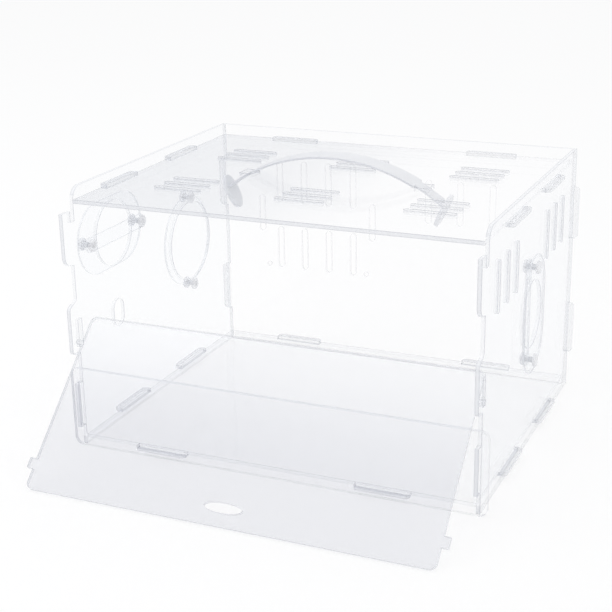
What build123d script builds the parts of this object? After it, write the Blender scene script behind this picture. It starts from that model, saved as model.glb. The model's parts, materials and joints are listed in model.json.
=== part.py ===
from build123d import *
from math import acos, atan2, cos, degrees, hypot, pi, radians, sin, sqrt
import os

# Clear acrylic cage of flat sheets that lock together with tabs in slots.
# X runs across the front, Y runs from the front to the back, Z is up, and the
# table is at Z = 0. The origin is under the middle of the whole outline.
# In a side view, "u" is the distance behind the front edge of the side panels.

# Driving sizes of the box, in millimetres
inside_width = 300.0
inside_depth = 240.0
panel_height = 195.0
sheet = 3.0
rim_height = 8.5
floor_underside = 5.0
top_setback = 4.4

# Tabs and slots of the sheet joints
tab_proud = 3.6
tab_corner = 1.6
glue_gap = 0.1
side_tab_length = 44.0
side_tab_offset = 48.0
cross_tab_length = 40.0
cross_tab_offset = 85.0
back_tab_length = 41.0
back_tab_heights = (49.5, 144.5)
guard_tab_length = 34.0
guard_tab_height = 33.0

# Front edge of the side panels: a hook that opens upwards and a slotted bulge
hook_reach = 10.2
hook_drop = 16.0
hook_length = 39.5
hook_round = 8.0
hook_slot_depth = 8.4
bulge_reach = 9.5
bulge_top = 115.5
bulge_foot = 73.0
bulge_round = 4.0
corner_round = 10.0
pivot_slot_floor = 77.0
pivot_slot_height = 21.0
slot_width = 5.0

# Low fixed guard across the front
guard_height = 61.0
guard_overhang = 5.5
guard_round = 6.0

# Drop-down door that hangs on its pivot ears
door_side_gap = 0.9
door_behind_guard = 0.6
door_beyond_ears = 18.6
door_above_pivot = 21.5
door_round = 5.0
pivot_ear_height = 3.2
lock_ear_height = 7.5
lock_ear_play = 1.0
ear_reach = 4.8
ear_clearance = 0.3
finger_hole_length = 28.0
finger_hole_height = 7.5
finger_hole_inset = 13.0

# Air slots. Their round ends are cut with flats, because there are many of them.
vent_width = 5.0
vent_end_sides = 16
top_vent_length = 38.0
top_vent_pitch = 14.3
top_vent_columns = 96.0
top_vent_rows = (73.0, 174.0)
side_vent_length = 37.0
side_vent_pitch = 22.6
side_vent_groups = (53.0, 182.0)
side_vent_drop = 37.5
back_vent_length = 36.5
back_vent_pitch = 22.3
back_cluster_x = -66.0
back_upper_drop = 37.5
back_lower_height = 90.6
back_outer_length = 32.0
back_outer_offset = 50.6
back_trio_x = 60.6
back_trio_pitch = 27.0
back_trio_drop = 44.0

# Accessory holes in the back and the bottle spout slot in the left panel
accessory_hole_radius = 2.0
accessory_hole_pitch = 90.0
accessory_hole_height = 74.2
spout_slot_width = 14.0
spout_slot_height = 21.5
spout_slot_centre = (55.5, 85.7)

# Tunnel ports: two with an oblong cover and a cross bar, one with a round cover
port_hole_radius = 25.0
port_screw_offset = 35.0
oblong_length = 88.0
oblong_width = 54.0
bar_width = 11.0
front_port_depth = 56.0
front_port_drop = 38.0
right_port_centre = (121.0, 100.6)
rear_port_centre = (173.0, 110.0)
rear_hole_radius = 33.0
rear_cover_radius = 37.5
rear_screw_offset = 37.2
plate = 1.5
seat_gap = 0.15
screw_radius = 2.0
screw_clearance = 0.15
nut_clearance = 0.05
knob_radius = 4.75
knob_length = 2.6
notch_depth = 0.5
notch_count = 12

# One-piece strap handle with an oval stop on each end
strap_thickness = 1.8
strap_width = 19.0
neck_width = 12.5
strap_radius = 138.0
strap_half_angle = 38.9
handle_depth = 124.0
handle_crossing = 66.3
handle_lift = 1.0
handle_clearance = 0.4
shoulder_gap = 0.2
stop_length = 27.0
stop_width = 17.0
stop_thickness = 3.0
stop_tilt = 26.0
stop_offset = 3.9

# Places worked out from the sizes above
half_width = inside_width / 2
middle_depth = inside_depth / 2
tab_reach = sheet + tab_proud
top_face_height = panel_height - rim_height
top_underside = top_face_height - sheet
hook_top = panel_height - hook_drop
hook_foot = hook_top - hook_length
hook_slot_floor = hook_top - hook_slot_depth
door_plane = door_behind_guard + sheet / 2
pivot_height = pivot_slot_floor + hypot(pivot_ear_height, sheet) / 2 + ear_clearance
lock_ear_offset = hook_slot_floor + lock_ear_play + lock_ear_height / 2 - pivot_height
door_below_pivot = lock_ear_offset + door_beyond_ears
low_corner = hypot(door_below_pivot, sheet / 2)
door_lean = acos(pivot_height / low_corner) + atan2(sheet / 2, door_below_pivot)
door_front = door_plane - door_below_pivot * sin(door_lean) - sheet / 2 * cos(door_lean)
front_y = -(door_front + inside_depth + tab_reach) / 2
slot_u = door_plane - slot_width / 2
side_vent_height = top_face_height - side_vent_drop
back_upper_height = top_face_height - back_upper_drop
back_outer_height = (back_upper_height + back_lower_height) / 2
back_trio_height = top_face_height - back_trio_drop
front_port_centre = (front_port_depth, top_face_height - front_port_drop)
arc_centre_height = top_face_height - sqrt(strap_radius**2 - handle_crossing**2)

print("door leans", round(degrees(door_lean), 2), "degrees; front edge at y =", round(front_y, 3))
print("pivot at y =", round(front_y + door_plane, 3), "z =", round(pivot_height, 3))
os.makedirs("parts", exist_ok=True)


def side_plane(x):
    """Upright sketch plane across the object: its own x is u, its own y is height."""
    return Plane(origin=(x, front_y, 0), x_dir=(0, 1, 0), z_dir=(1, 0, 0))


def tab(length, reach):
    """Tab outline, centred, with its corners cut off so that it enters its slot."""
    with BuildSketch(mode=Mode.PRIVATE) as outline:
        Rectangle(length, reach)
        chamfer(outline.vertices(), tab_corner)
    return outline.sketch


def air_slot(length):
    """Air slot outline, centred along x: the hull of a polygon at each end."""
    with BuildSketch(mode=Mode.PRIVATE) as outline:
        with Locations(((vent_width - length) / 2, 0), ((length - vent_width) / 2, 0)):
            RegularPolygon(vent_width / 2, vent_end_sides)
        make_hull()
    return outline.sketch


def side_panel(left):
    """Side panel with the door's hook and slotted bulge on its front edge."""
    x_low = -half_width - sheet if left else half_width
    tab_front = -tab_reach
    guard_tab_low = guard_tab_height - guard_tab_length / 2
    guard_tab_high = guard_tab_height + guard_tab_length / 2
    slot_back = slot_u + slot_width
    side_slot = air_slot(side_vent_length)
    rounded_corners = (
        ((slot_back, panel_height), corner_round),
        ((-hook_reach, hook_foot), hook_round),
        ((-bulge_reach, bulge_foot), bulge_round),
    )
    with BuildPart() as panel:
        with BuildSketch(side_plane(x_low)):
            with BuildLine():
                Polyline(
                    (-bulge_reach, bulge_top - bulge_reach), (-bulge_reach, bulge_foot), (0, bulge_foot),
                    (0, guard_tab_high), (tab_front, guard_tab_high), (tab_front, guard_tab_low),
                    (0, guard_tab_low), (0, 0), (inside_depth + sheet, 0),
                    (inside_depth + sheet, panel_height), (slot_back, panel_height),
                    (slot_back, hook_slot_floor), (slot_u, hook_slot_floor), (slot_u, hook_top),
                    (-hook_reach, hook_top), (-hook_reach, hook_foot), (0, hook_foot), (0, bulge_top),
                )
                Spline((0, bulge_top), (-bulge_reach, bulge_top - bulge_reach),
                       tangents=((0, -1), (0, -1)))
            make_face()
            for corner, radius in rounded_corners:
                fillet(vertices().sort_by_distance(corner)[0], radius)
            # pivot slot of the door
            with Locations((door_plane, pivot_slot_floor + pivot_slot_height / 2)):
                Rectangle(slot_width, pivot_slot_height, mode=Mode.SUBTRACT)
            # slots for the tabs of the top panel and of the floor
            for height in (top_underside, floor_underside):
                with Locations((middle_depth - side_tab_offset, height + sheet / 2),
                               (middle_depth + side_tab_offset, height + sheet / 2)):
                    Rectangle(side_tab_length + 2 * glue_gap, sheet + 2 * glue_gap, mode=Mode.SUBTRACT)
            # notches in the back edge for the tabs of the back panel
            for height in back_tab_heights:
                with Locations((inside_depth + sheet / 2, height)):
                    Rectangle(sheet + 2 * glue_gap, back_tab_length + 2 * glue_gap, mode=Mode.SUBTRACT)
            if left:
                with Locations(spout_slot_centre):
                    SlotOverall(spout_slot_height, spout_slot_width, rotation=90, mode=Mode.SUBTRACT)
                port_holes(front_port_centre, port_hole_radius, port_screw_offset, 0)
                port_holes(rear_port_centre, rear_hole_radius, rear_screw_offset, 90)
            else:
                port_holes(right_port_centre, port_hole_radius, port_screw_offset, 90)
                for group in side_vent_groups:
                    with Locations((group, side_vent_height)):
                        with GridLocations(side_vent_pitch, 0, 3, 1):
                            add(side_slot, rotation=90, mode=Mode.SUBTRACT)
        extrude(amount=sheet)
    name = "left_side_panel" if left else "right_side_panel"
    panel.part.label = name
    export_step(panel.part, "parts/" + name + ".step")


def port_holes(centre, radius, screw_offset, turn):
    """Cut a port and its two screw holes out of the sketch that is being made."""
    with Locations(Location((centre[0], centre[1], 0), (0, 0, turn))):
        Circle(radius, mode=Mode.SUBTRACT)
        with Locations((-screw_offset, 0), (screw_offset, 0)):
            Circle(screw_radius + screw_clearance, mode=Mode.SUBTRACT)


side_panel(True)
side_panel(False)

# Back panel: stands between the side panels, its tabs lie in their back edges
back_slot = air_slot(back_vent_length)
with BuildPart() as back_panel:
    with BuildSketch(Plane(origin=(0, front_y + inside_depth, 0), x_dir=(-1, 0, 0), z_dir=(0, 1, 0))):
        with Locations((0, panel_height / 2)):
            Rectangle(inside_width - 2 * glue_gap, panel_height)
        for height in back_tab_heights:
            with Locations((0, height)):
                add(tab(inside_width + 2 * tab_reach, back_tab_length))
        for height in (top_underside, floor_underside):
            with Locations((-cross_tab_offset, height + sheet / 2), (cross_tab_offset, height + sheet / 2)):
                Rectangle(cross_tab_length + 2 * glue_gap, sheet + 2 * glue_gap, mode=Mode.SUBTRACT)
        # air slots on the left: two rows of four, with one more at each side
        for height in (back_upper_height, back_lower_height):
            with Locations((-back_cluster_x, height)):
                with GridLocations(back_vent_pitch, 0, 4, 1):
                    add(back_slot, rotation=90, mode=Mode.SUBTRACT)
        with Locations((-back_cluster_x - back_outer_offset, back_outer_height),
                       (-back_cluster_x + back_outer_offset, back_outer_height)):
            add(air_slot(back_outer_length), rotation=90, mode=Mode.SUBTRACT)
        with Locations((-back_trio_x, back_trio_height)):
            with GridLocations(back_trio_pitch, 0, 3, 1):
                add(back_slot, rotation=90, mode=Mode.SUBTRACT)
        with Locations((-back_cluster_x, accessory_hole_height)):
            with GridLocations(accessory_hole_pitch, 0, 2, 1):
                Circle(accessory_hole_radius, mode=Mode.SUBTRACT)
    extrude(amount=sheet)
back_panel.part.label = "back_panel"
export_step(back_panel.part, "parts/back_panel.step")

# Top panel: lies below the rim, with six groups of air slots and the handle slots. Each handle
# slot leaves room for the slanting strap at rest and for its short rise when it is gripped.
top_depth = inside_depth - top_setback - glue_gap
strap_inner_radius = strap_radius - strap_thickness / 2
strap_outer_radius = strap_radius + strap_thickness / 2
slot_inner_x = sqrt(strap_inner_radius**2 - (top_face_height - arc_centre_height)**2) - handle_clearance
slot_outer_x = handle_clearance + sqrt(
    strap_outer_radius**2 - (top_underside - handle_lift - arc_centre_height)**2)
handle_slot_length = neck_width + 2 * handle_clearance
with BuildPart() as top_panel:
    with BuildSketch(Plane(origin=(0, front_y, top_underside))):
        with Locations((0, top_setback + top_depth / 2)):
            Rectangle(inside_width - 2 * glue_gap, top_depth)
        for depth in (middle_depth - side_tab_offset, middle_depth + side_tab_offset):
            with Locations((0, depth)):
                add(tab(inside_width + 2 * tab_reach, side_tab_length))
        back_tab_depth = inside_depth + tab_reach - middle_depth
        with Locations((-cross_tab_offset, middle_depth + back_tab_depth / 2),
                       (cross_tab_offset, middle_depth + back_tab_depth / 2)):
            add(tab(cross_tab_length, back_tab_depth))
        for row in top_vent_rows:
            with Locations((0, row)):
                with GridLocations(top_vent_columns, top_vent_pitch, 3, 3):
                    add(air_slot(top_vent_length), mode=Mode.SUBTRACT)
        handle_slot_x = (slot_inner_x + slot_outer_x) / 2
        with Locations((-handle_slot_x, handle_depth), (handle_slot_x, handle_depth)):
            Rectangle(slot_outer_x - slot_inner_x, handle_slot_length, mode=Mode.SUBTRACT)
    extrude(amount=sheet)
top_panel.part.label = "top_panel"
export_step(top_panel.part, "parts/top_panel.step")

# Floor panel: held between the four walls by tabs on every side
with BuildPart() as floor_panel:
    with BuildSketch(Plane(origin=(0, front_y, floor_underside))):
        with Locations((0, middle_depth)):
            Rectangle(inside_width - 2 * glue_gap, inside_depth - 2 * glue_gap)
        for depth in (middle_depth - side_tab_offset, middle_depth + side_tab_offset):
            with Locations((0, depth)):
                add(tab(inside_width + 2 * tab_reach, side_tab_length))
        with Locations((-cross_tab_offset, middle_depth), (cross_tab_offset, middle_depth)):
            add(tab(cross_tab_length, inside_depth + 2 * tab_reach))
    extrude(amount=sheet)
floor_panel.part.label = "floor_panel"
export_step(floor_panel.part, "parts/floor_panel.step")

# Front guard: fixed across the front edges of the side panels, which pass tabs through it
guard_width = inside_width + 2 * (sheet + guard_overhang)
guard_tab_x = half_width + sheet / 2
with BuildPart() as front_guard:
    with BuildSketch(Plane(origin=(0, front_y, 0), x_dir=(1, 0, 0), z_dir=(0, -1, 0))):
        with Locations((0, guard_height / 2)):
            RectangleRounded(guard_width, guard_height, guard_round)
        with Locations((-guard_tab_x, guard_tab_height), (guard_tab_x, guard_tab_height)):
            Rectangle(sheet + 2 * glue_gap, guard_tab_length + 2 * glue_gap, mode=Mode.SUBTRACT)
        with Locations((-cross_tab_offset, floor_underside + sheet / 2),
                       (cross_tab_offset, floor_underside + sheet / 2)):
            Rectangle(cross_tab_length + 2 * glue_gap, sheet + 2 * glue_gap, mode=Mode.SUBTRACT)
    extrude(amount=sheet)
front_guard.part.label = "front_guard"
export_step(front_guard.part, "parts/front_guard.step")

# Drop-down door: a plain sheet with two pairs of ears. The pivot ears lie in the slots of
# the bulges, the lock ears drop into the hooks when the door is closed. It is drawn open,
# with its low edge on the table.
door_plane_open = Plane(origin=(0, front_y + door_plane, pivot_height), x_dir=(1, 0, 0),
                        z_dir=(0, -cos(door_lean), sin(door_lean)))
door_width = inside_width - 2 * door_side_gap
with BuildPart() as front_door:
    with BuildSketch(door_plane_open):
        with Locations((0, (door_above_pivot - door_below_pivot) / 2)):
            RectangleRounded(door_width, door_above_pivot + door_below_pivot, door_round)
        Rectangle(door_width + 2 * ear_reach, pivot_ear_height)
        with Locations((0, -lock_ear_offset)):
            Rectangle(door_width + 2 * ear_reach, lock_ear_height)
        with Locations((0, finger_hole_inset - door_below_pivot)):
            Ellipse(finger_hole_length / 2, finger_hole_height / 2, mode=Mode.SUBTRACT)
    extrude(amount=sheet / 2, both=True)
front_door.part.label = "front_door"
export_step(front_door.part, "parts/front_door.step")


def port_plane(side, face, centre, layers):
    """Plane on the outer (face 1) or inner (face -1) side of a side panel, so many
    millimetres above its surface, looking away from the panel."""
    surface = half_width + sheet if face > 0 else half_width
    return Plane(origin=(side * (surface + face * layers), front_y + centre[0], centre[1]),
                 x_dir=(0, 1, 0), z_dir=(side * face, 0, 0))


def screw_centres(port, centre):
    """Centres of a port's two screws, as (u, height)."""
    reach = rear_screw_offset if port["round"] else port_screw_offset
    if port["upright"]:
        return ((centre[0], centre[1] - reach), (centre[0], centre[1] + reach))
    return ((centre[0] - reach, centre[1]), (centre[0] + reach, centre[1]))


def cut_screw_holes(reach, upright):
    """Cut the two screw holes out of the plate sketch that is being made."""
    places = ((0, -reach), (0, reach)) if upright else ((-reach, 0), (reach, 0))
    with Locations(*places):
        Circle(screw_radius + screw_clearance, mode=Mode.SUBTRACT)


def port_cover(name, port):
    """Thin cover plate on the outside of a port: an oblong, or a disc notched by its screws."""
    with BuildPart() as cover:
        with BuildSketch(port_plane(port["side"], 1, port["centre"], seat_gap)):
            if port["round"]:
                Circle(rear_cover_radius)
                cut_screw_holes(rear_screw_offset, port["upright"])
            else:
                SlotOverall(oblong_length, oblong_width, rotation=90 if port["upright"] else 0)
                cut_screw_holes(port_screw_offset, port["upright"])
        extrude(amount=plate)
    cover.part.label = name
    export_step(cover.part, "parts/" + name + ".step")


def port_bar(name, port):
    """Cross bar on the inside of a port, held by the same two screws as the cover."""
    with BuildPart() as bar:
        with BuildSketch(port_plane(port["side"], -1, port["centre"], seat_gap)):
            SlotCenterToCenter(2 * port_screw_offset, bar_width, rotation=90 if port["upright"] else 0)
            cut_screw_holes(port_screw_offset, port["upright"])
        extrude(amount=plate)
    bar.part.label = name
    export_step(bar.part, "parts/" + name + ".step")


def thumb_knob(name, port, centre, face):
    """Notched knob: the head of a screw on the outside (face 1) or its nut inside (face -1)."""
    inner_stack = 0 if port["round"] else seat_gap + plate
    outer_stack = 2 * seat_gap + plate
    seat = port_plane(port["side"], face, centre, outer_stack if face > 0 else inner_stack)
    step = 2 * pi / notch_count
    rim = []
    for notch in range(notch_count):
        for turn, radius in ((0, knob_radius), (step / 2, knob_radius), (step * 3 / 4, knob_radius - notch_depth)):
            angle = notch * step + turn
            rim.append((radius * cos(angle), radius * sin(angle)))
    with BuildPart() as knob:
        with BuildSketch(seat):
            with BuildLine():
                Polyline(*rim, close=True)
            make_face()
            if face < 0:
                Circle(screw_radius + nut_clearance, mode=Mode.SUBTRACT)
        extrude(amount=knob_length)
        if face > 0:
            with BuildSketch(seat):
                Circle(screw_radius)
            extrude(amount=-(outer_stack + sheet + inner_stack + knob_length))
    knob.part.label = name
    export_step(knob.part, "parts/" + name + ".step")


ports = {
    "front_port": {"side": -1, "centre": front_port_centre, "upright": False, "round": False},
    "rear_port": {"side": -1, "centre": rear_port_centre, "upright": True, "round": True},
    "right_port": {"side": 1, "centre": right_port_centre, "upright": True, "round": False},
}
for port_name, port in ports.items():
    port_cover(port_name + "_cover", port)
    if not port["round"]:
        port_bar(port_name + "_bar", port)
    ends = ("lower", "upper") if port["upright"] else ("near", "far")
    for end, centre in zip(ends, screw_centres(port, port["centre"])):
        thumb_knob(port_name + "_" + end + "_screw", port, centre, 1)
        thumb_knob(port_name + "_" + end + "_nut", port, centre, -1)

# Strap handle: one arc from stop to stop. Its wide grip rests with square shoulders on the top
# panel, a narrower neck goes down through each slot, and an oval stop keeps it from pulling out.
grip_half_angle = degrees(acos((top_face_height + shoulder_gap - arc_centre_height)
                               / strap_inner_radius))
handle_plane = Plane(origin=(0, front_y + handle_depth, arc_centre_height), x_dir=(1, 0, 0),
                     z_dir=(0, -1, 0))
with BuildPart() as carry_handle:
    for half_angle, width in ((grip_half_angle, strap_width), (strap_half_angle, neck_width)):
        with BuildSketch(handle_plane):
            with BuildLine():
                CenterArc((0, 0), strap_radius, 90 - half_angle, 2 * half_angle)
            trace(line_width=strap_thickness)
        extrude(amount=width / 2, both=True)
    for side in (-1, 1):
        stop_x = (strap_radius * sin(radians(strap_half_angle))
                  - stop_offset * sin(radians(stop_tilt)))
        stop_height = (arc_centre_height + strap_radius * cos(radians(strap_half_angle))
                       - stop_offset * cos(radians(stop_tilt)))
        stop_plane = Plane(origin=(side * stop_x, front_y + handle_depth, stop_height), x_dir=(0, 1, 0),
                           z_dir=(side * cos(radians(stop_tilt)), 0, -sin(radians(stop_tilt))))
        with BuildSketch(stop_plane):
            Ellipse(stop_width / 2, stop_length / 2)
        extrude(amount=stop_thickness / 2, both=True)
carry_handle.part.label = "carry_handle"
export_step(carry_handle.part, "parts/carry_handle.step")
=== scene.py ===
import json
from math import cos, pi, radians, sin

import bmesh
import bpy
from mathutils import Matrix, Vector

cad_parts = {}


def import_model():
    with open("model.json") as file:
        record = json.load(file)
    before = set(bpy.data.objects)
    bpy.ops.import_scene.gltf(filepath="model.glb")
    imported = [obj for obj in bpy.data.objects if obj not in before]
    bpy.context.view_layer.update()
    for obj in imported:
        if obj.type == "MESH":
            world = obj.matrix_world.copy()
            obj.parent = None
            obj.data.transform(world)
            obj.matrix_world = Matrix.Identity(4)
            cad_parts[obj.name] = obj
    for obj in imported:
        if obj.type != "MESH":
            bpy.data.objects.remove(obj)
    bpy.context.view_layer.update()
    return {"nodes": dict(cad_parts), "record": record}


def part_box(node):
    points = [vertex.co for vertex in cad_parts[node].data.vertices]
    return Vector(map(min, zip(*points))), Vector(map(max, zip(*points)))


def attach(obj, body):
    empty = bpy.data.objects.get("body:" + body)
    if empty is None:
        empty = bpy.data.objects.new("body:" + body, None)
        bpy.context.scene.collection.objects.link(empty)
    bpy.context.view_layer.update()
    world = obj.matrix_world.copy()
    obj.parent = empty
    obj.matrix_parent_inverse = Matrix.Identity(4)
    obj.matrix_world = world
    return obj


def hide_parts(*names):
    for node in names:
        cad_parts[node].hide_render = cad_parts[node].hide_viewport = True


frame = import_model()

# The cage is photographed from the right of its front and from a little above it. The camera
# was fitted to the straight edges of the cage. Its three angles are in radians. Light passes
# many clear faces on its way to it.
inside_depth = 0.240
front_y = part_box("back_panel")[0][1] - inside_depth
camera_right, camera_away, camera_height = 0.3696, 0.7640, 0.4209
camera_turn, camera_dip, camera_roll = 0.4182, 0.3341, -0.0186
focal_pixels, photo_pixels, sensor_width, nearest = 1334.84, 612, 36.0, 0.01
clear_faces, light_turns, mirror_turns = 64, 32, 8

camera_place = Vector((camera_right, front_y - camera_away, camera_height))
ahead = Vector((-sin(camera_turn) * cos(camera_dip), cos(camera_turn) * cos(camera_dip),
                -sin(camera_dip)))
level_right = Vector((cos(camera_turn), sin(camera_turn), 0))
level_up = level_right.cross(ahead)
right = level_right * cos(camera_roll) + level_up * sin(camera_roll)
up = level_up * cos(camera_roll) - level_right * sin(camera_roll)

camera_data = bpy.data.cameras.new("camera")
camera_data.sensor_width = sensor_width
camera_data.lens = sensor_width * focal_pixels / photo_pixels
camera_data.clip_start = nearest
camera = bpy.data.objects.new("camera", camera_data)
bpy.context.collection.objects.link(camera)
for column, axis in enumerate((right, up, -ahead, camera_place)):
    for row in range(3):
        camera.matrix_world[row][column] = axis[row]
bpy.context.scene.camera = camera
bpy.context.scene.view_settings.view_transform = "Standard"
bpy.context.scene.cycles.transparent_max_bounces = clear_faces
bpy.context.scene.cycles.max_bounces = light_turns
bpy.context.scene.cycles.transmission_bounces = light_turns
bpy.context.scene.cycles.glossy_bounces = mirror_turns

# White table: it looks as white as the wall behind it, and keeps a faint shadow of the cage.
# It is there for the pictures only and isn't part of the cage.
table_size, shadow_share = 12.0, 0.30
table_white, pure_white = (0.93, 0.93, 0.93, 1), (1, 1, 1, 1)


class Sock:
    """A shader or geometry socket that takes part in Python sums."""

    def __init__(self, tree, socket):
        self.tree, self.socket = tree, socket

    def maths(self, operation, *others):
        return node(self.tree, "ShaderNodeMath", {"operation": operation}, self, *others)

    def __add__(self, other):
        return self.maths("ADD", other)

    def __sub__(self, other):
        return self.maths("SUBTRACT", other)

    def __mul__(self, other):
        return self.maths("MULTIPLY", other)

    def __truediv__(self, other):
        return self.maths("DIVIDE", other)

    def __rsub__(self, other):
        return node(self.tree, "ShaderNodeMath", {"operation": "SUBTRACT"}, other, self)

    def __abs__(self):
        return self.maths("ABSOLUTE")

    __radd__, __rmul__ = __add__, __mul__


def node(tree, kind, settings, *values, output=0, **named):
    """Adds a node, sets its settings and then its inputs, by place or by name."""
    made = tree.nodes.new(kind)
    for name, value in settings.items():
        setattr(made, name, value)
    by_name = [(name.replace("_", " "), value) for name, value in named.items()]
    for key, value in list(enumerate(values)) + by_name:
        if value is None:
            continue
        target = made.inputs[key]
        if isinstance(value, Sock):
            tree.links.new(value.socket, target)
        else:
            target.default_value = value
    return Sock(tree, made.outputs[output]) if made.outputs else None


def new_material(name):
    """An empty material and its tree."""
    material = bpy.data.materials.new(name)
    material.use_nodes = True
    material.node_tree.nodes.clear()
    return material, material.node_tree


def finish_material(tree, shader):
    """Gives the surface its shader."""
    node(tree, "ShaderNodeOutputMaterial", {}, shader)


def in_view(tree):
    """1 where the camera looks, also through moulded plastic, and 0 for reflections and light."""
    direct = node(tree, "ShaderNodeLightPath", {}, output="Is Camera Ray")
    through = node(tree, "ShaderNodeLightPath", {}, output="Is Transmission Ray")
    return direct.maths("MAXIMUM", through)


half = table_size / 2
corners = [(-half, -half, 0), (half, -half, 0), (half, half, 0), (-half, half, 0)]
table_mesh = bpy.data.meshes.new("table")
table_mesh.from_pydata(corners, [], [(0, 1, 2, 3)])
table = bpy.data.objects.new("table", table_mesh)
bpy.context.collection.objects.link(table)
material, tree = new_material("white_table")
lit = node(tree, "ShaderNodeBsdfDiffuse", {}, table_white)
plain = node(tree, "ShaderNodeEmission", {}, pure_white, 1.0)
finish_material(tree, node(tree, "ShaderNodeMixShader", {}, in_view(tree) * (1 - shadow_share),
                           lit, plain))
table_mesh.materials.append(material)

# Soft light: a white room that is a little darker at the left, in front and below, and one wide
# lamp above the front left corner. The camera sees the room as plain white.
room_dim, brighter_way, dim_until, bright_from = (0.70, 0.71, 0.75, 1), (0.9, 0.5, 0.5), -0.35, 0.35
lamp_power, lamp_size, lamp_place = 9.0, 1.6, Vector((-0.9, -0.6, 1.8))


def mix_colours(tree, share, first, second):
    """The first colour turning into the second as share goes from 0 to 1."""
    return node(tree, "ShaderNodeMix", {"data_type": "RGBA"}, share, None, None, None, None, None,
                first, second, output=2)


def dot(tree, vector, direction):
    """How far a vector reaches in a direction."""
    return node(tree, "ShaderNodeVectorMath", {"operation": "DOT_PRODUCT"}, vector, direction,
                output="Value")


def between(tree, value, start, end):
    """0 at the start and before it, 1 at the end and past it, and a smooth step between them."""
    return node(tree, "ShaderNodeMapRange", {"interpolation_type": "SMOOTHSTEP"}, value, start, end)


world = bpy.data.worlds.new("white_room")
bpy.context.scene.world = world
world.use_nodes = True
tree = world.node_tree
tree.nodes.clear()
way = node(tree, "ShaderNodeTexCoord", {}, output="Generated")
brightness = between(tree, dot(tree, way, brighter_way), dim_until, bright_from)
room = node(tree, "ShaderNodeBackground", {}, mix_colours(tree, brightness, room_dim, pure_white), 1.0)
white = node(tree, "ShaderNodeBackground", {}, pure_white, 1.0)
node(tree, "ShaderNodeOutputWorld", {}, node(tree, "ShaderNodeMixShader", {}, in_view(tree), room, white))
lamp_data = bpy.data.lights.new("wide_lamp", "AREA")
lamp_data.energy, lamp_data.size = lamp_power, lamp_size
lamp = bpy.data.objects.new("wide_lamp", lamp_data)
bpy.context.collection.objects.link(lamp)
lamp.location = lamp_place
lamp.rotation_euler = (-lamp_place).to_track_quat("-Z", "Y").to_euler()

# Sheets: the side, back, top and floor panels, the front guard and the door are laser-cut from
# clear acrylic, 3 mm thick. The faces are polished and nearly invisible. The cut edges and the
# tabs are slightly frosted, with fine marks of the laser, so they show as pale grey lines. The
# grey of the cut edges is partly painted shade, for light bent and reflected inside them, and the
# darker line along each rim of a cut edge is painted shade.
sheet_thickness = 0.003
wall_tint, back_tint = (0.993, 0.995, 0.998, 1), (0.999, 0.999, 1.0, 1)
# The door's tint, a little darker than the other sheets', is partly the acrylic's own and partly painted
# shade from the door's shadow on the table seen through it.
top_tint, door_tint_and_shade = (0.998, 0.998, 1.0, 1), (0.987, 0.988, 0.992, 1)
floor_tint, guard_tint = (0.982, 0.983, 0.986, 1), (0.994, 0.9945, 0.996, 1)
# Painted shade: the top is darker at its left, standing in for the dimmer light it reflects and passes
# there.
top_painted_shade = ((0.948, 0.952, 0.961, 1), (1, 0, 0), -0.06, 0.07)  # at the left of the top
# Painted shadow: the door is darker low down, standing in for its shadow on the table seen through it.
door_painted_shade = ((0.923, 0.926, 0.939, 1), (0, 0, 1), 0.03, 0.10)  # low on the door
shine_share, face_shine, shine_power = 0.35, 0.04, 5.0
face_roughness, smudge_roughness, smudge_scale, smudge_detail = 0.02, 0.04, 14.0, 3.0

# Cut edges: the middle grey is frost and partly painted shade; the rim colour is a darker line of painted
# shade.
edge_middle, rim_painted_shade = (0.83, 0.84, 0.86, 1), (0.66, 0.67, 0.70, 1)
face_slant, edge_slant = 0.75, 0.25  # cosines of the angle to the way that the sheet looks
outer_line, inner_line = (0.32, 0.08), (0.725, 0.975)  # from none to full, in thicknesses
frost_roughness, acrylic_bend = 0.35, 1.49
mark_strength, mark_depth, mark_scale, mark_detail = 0.12, 0.0001, 1400.0, 1.0
hole_border, hole_inner_share, hole_line_less = 0.006, 0.2, 0.15
touch_gap, foot_height = 0.0003, 0.0006  # nearer than this, an edge touches a wall or the table
touch_share, foot_share, tab_share = 0.42, 0.45, 0.5  # the frost that is left there and on tabs


def broad_face(mesh):
    """Which way a sheet's largest face looks, and how far out it lies."""
    areas = {}
    for polygon in mesh.polygons:
        looks = tuple(round(part, 3) for part in polygon.normal)
        areas[looks] = areas.get(looks, 0) + polygon.area
    normal = Vector(max(areas, key=areas.get)).normalized()
    return normal, max(vertex.co.dot(normal) for vertex in mesh.vertices)


def within_outline(tree, place, mesh, wide):
    """1 well inside a sheet's outline, where only holes have cut walls, and 0 along it."""
    inside = 1.0
    for axis in range(3):
        low, high = (pick(vertex.co[axis] for vertex in mesh.vertices) for pick in (min, max))
        if high - low > wide:
            direction = tuple(float(axis == other) for other in range(3))
            off_middle = abs(dot(tree, place, direction) - (low + high) / 2)
            inside = off_middle.maths("LESS_THAN", (high - low) / 2 - hole_border) * inside
    return inside


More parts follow.
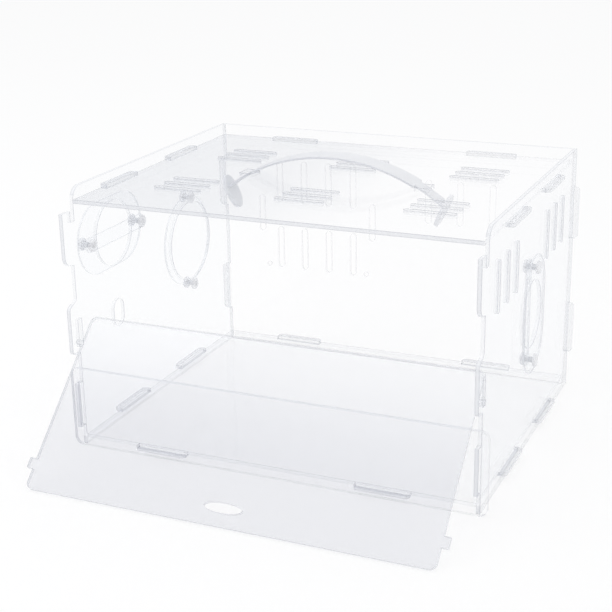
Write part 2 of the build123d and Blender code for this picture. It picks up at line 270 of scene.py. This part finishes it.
def clear_acrylic(name, thickness, tint, shade=None, edge_frost=0.75, hole_frost=0.22,
                  tab_frost=0.16, line=0.9, tab_walls=()):
    """Gives a sheet its material: faces to see through, and cut edges whose grey is partly slight
    frost and partly painted shade, with a darker line of painted shade along each rim, fainter in
    holes. Each frost, and line, is the share that hides what is behind.
    shade is a darker tint of painted shade, with a direction and the two places between which it
    gives way to the first. Each of tab_walls is a direction and how far out a neighbour begins:
    tabs lie past it, and the edges that touch it show less."""
    mesh = frame["nodes"][name].data
    normal, outer = broad_face(mesh)
    material, tree = new_material(name + "_acrylic")
    place = node(tree, "ShaderNodeTexCoord", {}, output="Object")
    looks = node(tree, "ShaderNodeTexCoord", {}, output="Normal")

    clear = node(tree, "ShaderNodeBsdfTransparent", {}, tint)
    # Painted shade: a darker tint that gives way to the sheet's own tint across the given span.
    if shade:
        shade_tint, direction, start, end = shade
        shaded = node(tree, "ShaderNodeBsdfTransparent", {}, shade_tint)
        unshaded_share = between(tree, dot(tree, place, direction), start, end)
        clear = node(tree, "ShaderNodeMixShader", {}, unshaded_share, shaded, clear)
    smudge = node(tree, "ShaderNodeTexNoise", {}, place, Scale=smudge_scale, Detail=smudge_detail)
    shine = node(tree, "ShaderNodeBsdfGlossy", {}, pure_white, smudge * smudge_roughness + face_roughness)
    slant = node(tree, "ShaderNodeLayerWeight", {}, 0.5, output="Facing")
    reflected = slant.maths("POWER", shine_power) * (1 - face_shine) + face_shine
    face = node(tree, "ShaderNodeMixShader", {}, reflected * shine_share, clear, shine)

    edge = between(tree, abs(dot(tree, looks, normal)), face_slant, edge_slant)
    in_hole = within_outline(tree, place, mesh, 4 * thickness)
    depth = (outer - dot(tree, place, normal)) / thickness
    # Painted shade: a darker line along each rim of a cut edge, fainter inside holes.
    rim_shade_line = (between(tree, depth, *outer_line)
                + between(tree, depth, *inner_line) * (1 - in_hole * (1 - hole_inner_share)))
    laser_mark = node(tree, "ShaderNodeTexNoise", {}, place, Scale=mark_scale, Detail=mark_detail)
    bump = node(tree, "ShaderNodeBump", {}, Strength=edge * mark_strength, Distance=mark_depth,
                Height=laser_mark)
    cut = node(tree, "ShaderNodeBsdfPrincipled", {}, IOR=acrylic_bend, Roughness=frost_roughness,
               Base_Color=mix_colours(tree, rim_shade_line * edge, edge_middle, rim_painted_shade), Normal=bump)

    frost = in_hole * (hole_frost - edge_frost) + edge_frost
    share = edge * frost.maths("MAXIMUM", rim_shade_line * (line - in_hole * hole_line_less))
    on_table = dot(tree, place, (0, 0, 1)).maths("LESS_THAN", foot_height)
    share = share * (1 - on_table * (1 - foot_share))
    for direction, reach in tab_walls:
        past = dot(tree, place, direction) - reach
        touches = abs(past).maths("LESS_THAN", touch_gap)
        in_tab = past.maths("GREATER_THAN", touch_gap)
        share = share * (1 - touches * (1 - touch_share)) * (1 - in_tab * (1 - tab_share))
        share = share.maths("MAXIMUM", in_tab * tab_frost)
    finish_material(tree, node(tree, "ShaderNodeMixShader", {}, share, face, cut))
    mesh.materials.clear()
    mesh.materials.append(material)


half_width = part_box("right_side_panel")[0][0]
to_sides = [((-1, 0, 0), half_width), ((1, 0, 0), half_width)]
to_back, to_front = [((0, 1, 0), front_y + inside_depth)], [((0, -1, 0), -front_y)]
for name in ("left_side_panel", "right_side_panel"):
    clear_acrylic(name, sheet_thickness, wall_tint, tab_frost=0.0, tab_walls=to_back)
clear_acrylic("back_panel", sheet_thickness, back_tint, tab_walls=to_sides)
clear_acrylic("top_panel", sheet_thickness, top_tint, top_painted_shade, tab_frost=0.3,
              tab_walls=to_sides + to_back)
clear_acrylic("floor_panel", sheet_thickness, floor_tint, tab_frost=0.1,
              tab_walls=to_sides + to_back + to_front)
clear_acrylic("front_guard", sheet_thickness, guard_tint)
clear_acrylic("front_door", sheet_thickness, door_tint_and_shade, door_painted_shade, edge_frost=0.4, line=0.85)

# Port covers outside the side panels and cross bars inside them: plates of the same acrylic,
# half as thick. The thumbscrews hold them to the walls.
plate_thickness, plate_frost = 0.0015, 0.40
for name in ("front_port_cover", "front_port_bar", "rear_port_cover", "right_port_cover",
             "right_port_bar"):
    clear_acrylic(name, plate_thickness, wall_tint, edge_frost=plate_frost, hole_frost=plate_frost)

# Thumbscrews and their nuts: moulded clear plastic, with a fluted rim that fingers can turn.
# The screw's shank has a thread and ends flush with the nut.
knob_radius, knob_length, knob_cut = 0.00475, 0.0026, 0.0004
flute_count, flute_depth, flute_sides = 12, 0.0005, 8
shank_radius, nut_bore = 0.0020, 0.00205
thread_depth, thread_pitch, thread_rows = 0.00012, 0.0007, 60
knob_pale, knob_shade, knob_solid, knob_clearness = (0.965, 0.968, 0.98), 0.93, 0.58, 0.10
knob_roughness, knob_mottle, plastic_bend = 0.25, 0.06, 1.46
flow_scale, flow_detail, flow_strength, flow_depth = 220.0, 2.0, 0.08, 0.0001
weld_reach = 0.000002

knob_material, tree = new_material("thumbscrew_plastic")
place = node(tree, "ShaderNodeTexCoord", {}, output="Object")
flow = node(tree, "ShaderNodeTexNoise", {}, place, Scale=flow_scale, Detail=flow_detail)
knob_dark = tuple(part * knob_shade for part in knob_pale)
colour = mix_colours(tree, flow, (*knob_dark, 1), (*knob_pale, 1))
bump = node(tree, "ShaderNodeBump", {}, Strength=flow_strength, Distance=flow_depth, Height=flow)
finish_material(tree, node(tree, "ShaderNodeBsdfPrincipled", {}, Base_Color=colour, IOR=plastic_bend,
                           Roughness=knob_roughness + flow * knob_mottle,
                           Transmission_Weight=knob_clearness, Alpha=knob_solid, Normal=bump))


def new_tree(name, numbers):
    """A Geometry Nodes tree with named numbers and a Place for inputs, and one shape to put out."""
    tree = bpy.data.node_groups.new(name, "GeometryNodeTree")
    tree.interface.new_socket("Geometry", in_out="OUTPUT", socket_type="NodeSocketGeometry")
    for label in numbers:
        tree.interface.new_socket(label, in_out="INPUT", socket_type="NodeSocketFloat")
    tree.interface.new_socket("Place", in_out="INPUT", socket_type="NodeSocketVector")
    entry = tree.nodes.new("NodeGroupInput")
    return tree, {label: Sock(tree, entry.outputs[label]) for label in (*numbers, "Place")}


def along_and_round(tree, rows, sides):
    """A grid, with the number of each point's row and its angle round the shape."""
    grid = node(tree, "GeometryNodeMeshGrid", {}, 1.0, 1.0, rows, sides + 1)
    parts = node(tree, "ShaderNodeSeparateXYZ", {}, node(tree, "GeometryNodeInputPosition", {}))
    x, y = (Sock(tree, parts.socket.node.outputs[axis]) for axis in "XY")
    return grid, ((x + 0.5) * (rows - 1)).maths("ROUND"), (y + 0.5) * (2 * pi)


def after(row, number):
    """1 on the rows after one, else 0."""
    return row.maths("GREATER_THAN", number + 0.5)


def before(row, number):
    """1 on the rows before one, else 0."""
    return row.maths("LESS_THAN", number - 0.5)


def at_rows(row, values):
    """Each value on its own row, and 0 on the rows after them."""
    total = 0.0
    for number, value in enumerate(values):
        total = row.maths("COMPARE", number, 0.5) * value + total
    return total


def finish_tree(tree, shape, material):
    """Closes seams and poles, and ends the tree."""
    closed = node(tree, "GeometryNodeMergeByDistance", {}, shape, Distance=weld_reach)
    real = node(tree, "GeometryNodeRealizeInstances", {}, closed)
    node(tree, "NodeGroupOutput", {}, node(tree, "GeometryNodeSetMaterial", {}, real, Material=material))


def make_piece(name, tree, values, body, replaced):
    """Runs a tree once, and keeps the plain mesh as a piece of that body."""
    source = bpy.data.objects.new(name + "_source", bpy.data.meshes.new(name + "_source"))
    bpy.context.collection.objects.link(source)
    run = source.modifiers.new("shape", "NODES")
    run.node_group = tree
    for item in tree.interface.items_tree:
        if item.in_out == "INPUT":
            run[item.identifier] = values[item.name]
    evaluated = source.evaluated_get(bpy.context.evaluated_depsgraph_get())
    mesh = bpy.data.meshes.new_from_object(evaluated)
    bpy.data.objects.remove(source)
    work = bmesh.new()
    work.from_mesh(mesh)
    bmesh.ops.recalc_face_normals(work, faces=work.faces)
    for face in work.faces:
        face.material_index = 0
    work.to_mesh(mesh)
    work.free()
    material = next(m for m in mesh.materials if m)
    mesh.materials.clear()
    mesh.materials.append(material)
    mesh.name = name
    piece = bpy.data.objects.new(name, mesh)
    bpy.context.collection.objects.link(piece)
    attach(piece, body)
    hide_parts(replaced)


def turned_tree(name, threaded):
    """Turns the outline of a screw, or of a nut, round an axis along X. Its rows are the head's
    outline and then the thread, or the way back through the nut's bore. Place is the middle of
    the head's inner face, and Side says which way the head stands out from it."""
    tree, sizes = new_tree(name, ("Radius", "Length", "Corner Cut", "Inner Radius", "Shank", "Side"))
    radius, length, cut = sizes["Radius"], sizes["Length"], sizes["Corner Cut"]
    inner, side = sizes["Inner Radius"], sizes["Side"]
    head = [(0.0 if threaded else inner, length), (radius - cut, length), (radius, length - cut),
            (radius, cut), (radius - cut, 0.0), (inner, 0.0)]
    rows = len(head) + (thread_rows + 1 if threaded else 1)
    grid, row, angle = along_and_round(tree, rows, flute_count * flute_sides)
    out = at_rows(row, [point[0] for point in head])
    height = at_rows(row, [point[1] for point in head])
    past_head = after(row, len(head) - 1)
    if threaded:
        drop = ((row - (len(head) - 1)) / thread_rows).maths("MINIMUM", 1.0) * sizes["Shank"]
        winding = (drop / thread_pitch + angle / (2 * pi)).maths("FRACT")
        groove = abs(winding - 0.5) * (2 * thread_depth)
        out = out + past_head * before(row, rows - 1) * (inner - groove)
        height = height - past_head * drop
    else:
        out = out + past_head * inner
        height = height + past_head * length
    on_rim = after(row, 0) * before(row, len(head) - 1)
    flute = (angle * flute_count).maths("COSINE").maths("MAXIMUM", 0.0) * flute_depth
    out = out - on_rim * flute
    spot = node(tree, "ShaderNodeCombineXYZ", {}, side * height, side * out * angle.maths("COSINE"),
                out * angle.maths("SINE"))
    spot = node(tree, "ShaderNodeVectorMath", {"operation": "ADD"}, spot, sizes["Place"])
    finish_tree(tree, node(tree, "GeometryNodeSetPosition", {}, grid, Position=spot), knob_material)
    return tree


bodies = frame["record"]["behaviour"]["bodies"]
node_body = {name: body for body, names in bodies.items() for name in names}
screw_tree, nut_tree = turned_tree("screw_shape", True), turned_tree("nut_shape", False)
for name in frame["nodes"]:
    if not name.endswith(("_screw", "_nut")):
        continue
    is_screw = name.endswith("_screw")
    low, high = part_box(name)
    wall_side = 1.0 if name.startswith("right_port") else -1.0
    side = wall_side if is_screw else -wall_side
    far_end = high[0] if side > 0 else low[0]
    values = {"Radius": knob_radius, "Length": knob_length, "Corner Cut": knob_cut,
              "Inner Radius": shank_radius if is_screw else nut_bore,
              "Shank": high[0] - low[0] - knob_length, "Side": side,
              "Place": Vector((far_end - side * knob_length, (low[1] + high[1]) / 2,
                               (low[2] + high[2]) / 2))}
    make_piece(name + "_moulded", screw_tree if is_screw else nut_tree, values,
               node_body[name], name)

# Carry handle: one soft plastic strap, bent into an arc. Its wide grip stands with square
# shoulders on the top panel; the necks pass through slots and end in oval stops below it.
strap_radius, strap_half_angle, strap_thickness, strap_corner = 0.138, radians(38.7), 0.0018, 0.0006
grip_half_angle, grip_width, neck_width = radians(27.82), 0.019, 0.0125
grip_rows, neck_rows, strap_sides = 96, 14, 32
stop_length, stop_width, stop_thickness, stop_corner = 0.027, 0.017, 0.003, 0.0009
stop_tilt, stop_offset, stop_sides, stop_rim_rows = radians(26.0), 0.0039, 64, 6
strap_pale, strap_grey = (0.955, 0.962, 0.975, 1), (0.82, 0.832, 0.86, 1)
strap_roughness, strap_mottle, strap_clearness = 0.30, 0.1, 0.12
cloud_scale, cloud_detail, cloud_share, rim_share, rim_power = 90.0, 2.0, 0.3, 0.7, 6.0
grain_scale, grain_detail, grain_strength, grain_depth = 2500.0, 1.0, 0.15, 0.0001
strap_squareness = 5.0

strap_material, tree = new_material("strap_plastic")
place = node(tree, "ShaderNodeTexCoord", {}, output="Object")
cloud = node(tree, "ShaderNodeTexNoise", {}, place, Scale=cloud_scale, Detail=cloud_detail)
grain = node(tree, "ShaderNodeTexNoise", {}, place, Scale=grain_scale, Detail=grain_detail)
rim = node(tree, "ShaderNodeAttribute", {"attribute_name": "rim"}, output="Fac")
colour = mix_colours(tree, cloud * cloud_share + rim * rim_share, strap_pale, strap_grey)
bump = node(tree, "ShaderNodeBump", {}, Strength=grain_strength, Distance=grain_depth, Height=grain)
finish_material(tree, node(tree, "ShaderNodeBsdfPrincipled", {}, Base_Color=colour, IOR=plastic_bend,
                           Roughness=strap_roughness + cloud * strap_mottle,
                           Transmission_Weight=strap_clearness, Normal=bump))


def rounded_oblong(angle, half_width, half_height, corner):
    """The two coordinates of a rounded oblong's outline at an angle."""
    outline = []
    for operation, extent in (("COSINE", half_width), ("SINE", half_height)):
        reach = angle.maths(operation)
        flat = (reach * strap_squareness).maths("MINIMUM", 1.0).maths("MAXIMUM", -1.0)
        outline.append(flat * (extent - corner) + reach * corner)
    return outline


def bent_strap(tree, sizes):
    """The grip and its necks. From the middle row outwards come half the grip's rows, one where
    the width steps, a neck's rows and one that closes the end. rim marks the narrow edges."""
    half_rows = grip_rows // 2 + neck_rows + 2
    grid, row, turn = along_and_round(tree, 2 * half_rows + 1, strap_sides)
    signed = row - half_rows
    count = abs(signed)
    in_grip = (count / (grip_rows / 2)).maths("MINIMUM", 1.0)
    in_neck = ((count - (grip_rows / 2 + 1)).maths("MAXIMUM", 0.0) / neck_rows).maths("MINIMUM", 1.0)
    neck_angle = sizes["Half Angle"] - sizes["Grip Half Angle"]
    bend = signed.maths("SIGN") * (in_grip * sizes["Grip Half Angle"] + in_neck * neck_angle)
    width_step = after(count, grip_rows / 2) * (sizes["Neck Width"] - sizes["Grip Width"])
    width = sizes["Grip Width"] + width_step
    side_out, over_out = rounded_oblong(turn, width / 2, sizes["Thickness"] / 2, sizes["Corner"])
    is_open = before(count, half_rows)
    distance = sizes["Radius"] + over_out * is_open
    spot = node(tree, "ShaderNodeCombineXYZ", {}, distance * bend.maths("SINE"), side_out * is_open,
                distance * bend.maths("COSINE"))
    strap = node(tree, "GeometryNodeSetPosition", {}, grid, Position=spot)
    return node(tree, "GeometryNodeStoreNamedAttribute", {"data_type": "FLOAT", "domain": "POINT"},
                strap, Name="rim", Value=abs(turn.maths("COSINE")).maths("POWER", rim_power))


def end_stop(tree, sizes, side):
    """An oval stop with a rounded rim at one end of the strap. Its first and last rows are the
    middles of its two faces, and those between them go round the rim."""
    grid, row, turn = along_and_round(tree, stop_rim_rows + 2, stop_sides)
    on_rim = after(row, 0) * before(row, stop_rim_rows + 1)
    lift = (row - 1) / (stop_rim_rows - 1) * pi - pi / 2
    inset = (1 - lift.maths("COSINE")) * stop_corner
    rise = lift.maths("SINE")
    rise = rise * stop_corner + rise.maths("SIGN") * (sizes["Stop Thickness"] / 2 - stop_corner)
    face_side = after(row, stop_rim_rows) - before(row, 1)
    rise = face_side * (sizes["Stop Thickness"] / 2) + on_rim * rise
    long_way = on_rim * (sizes["Stop Length"] / 2 - inset) * turn.maths("SINE") - stop_offset
    wide_way = on_rim * (sizes["Stop Width"] / 2 - inset) * turn.maths("COSINE")
    end_x = sizes["Radius"] * sizes["Half Angle"].maths("SINE")
    end_z = sizes["Radius"] * sizes["Half Angle"].maths("COSINE")
    spot = node(tree, "ShaderNodeCombineXYZ", {},
                side * (end_x + long_way * sin(stop_tilt) + rise * cos(stop_tilt)), wide_way,
                end_z + long_way * cos(stop_tilt) - rise * sin(stop_tilt))
    return node(tree, "GeometryNodeSetPosition", {}, grid, Position=spot)


strap_sizes = {"Radius": strap_radius, "Half Angle": strap_half_angle,
               "Grip Half Angle": grip_half_angle, "Grip Width": grip_width,
               "Neck Width": neck_width, "Thickness": strap_thickness, "Corner": strap_corner,
               "Stop Length": stop_length, "Stop Width": stop_width,
               "Stop Thickness": stop_thickness}
tree, sizes = new_tree("strap_shape", strap_sizes)
joined = tree.nodes.new("GeometryNodeJoinGeometry")
for part in (end_stop(tree, sizes, 1), end_stop(tree, sizes, -1), bent_strap(tree, sizes)):
    tree.links.new(part.socket, joined.inputs[0])
placed = node(tree, "GeometryNodeTransform", {}, Sock(tree, joined.outputs[0]),
              Translation=sizes["Place"])
finish_tree(tree, placed, strap_material)
low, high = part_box("carry_handle")
arc_centre = Vector((0, (low[1] + high[1]) / 2, high[2] - strap_radius - strap_thickness / 2))
make_piece("strap_handle", tree, {**strap_sizes, "Place": arc_centre}, "handle", "carry_handle")
